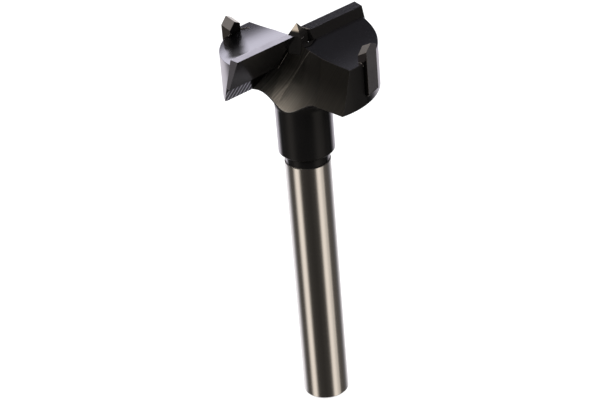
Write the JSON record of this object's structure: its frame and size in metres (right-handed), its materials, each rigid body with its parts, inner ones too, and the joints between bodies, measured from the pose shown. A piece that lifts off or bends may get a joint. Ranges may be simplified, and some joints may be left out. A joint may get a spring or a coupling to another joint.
{
  "type": "hinge boring bit",
  "caption": "Right-hand boring bit for hinge cup holes: ground cylindrical shank, fluted black head with flat main cutters, scoring spurs and a centre point.",
  "frame": {"origin": "on the axis, at the centre of the shank's end face", "axes": "+Z along the axis from the shank's end to the centre point; X along the two main cutting edges; the bit cuts turning anticlockwise seen from the point"},
  "size_m": [0.035, 0.0344, 0.0921],
  "materials": {
    "coated_steel": "satin",
    "main_carbide": "satin",
    "spur_carbide": "satin",
    "point_carbide": "satin"
  },
  "bodies": {
    "root": {"cutter_body": "coated_steel", "main_cutter_1": "main_carbide", "main_cutter_2": "main_carbide", "spur_1": "spur_carbide", "spur_2": "spur_carbide", "centre_point": "point_carbide"}
  },
  "joints": []
}
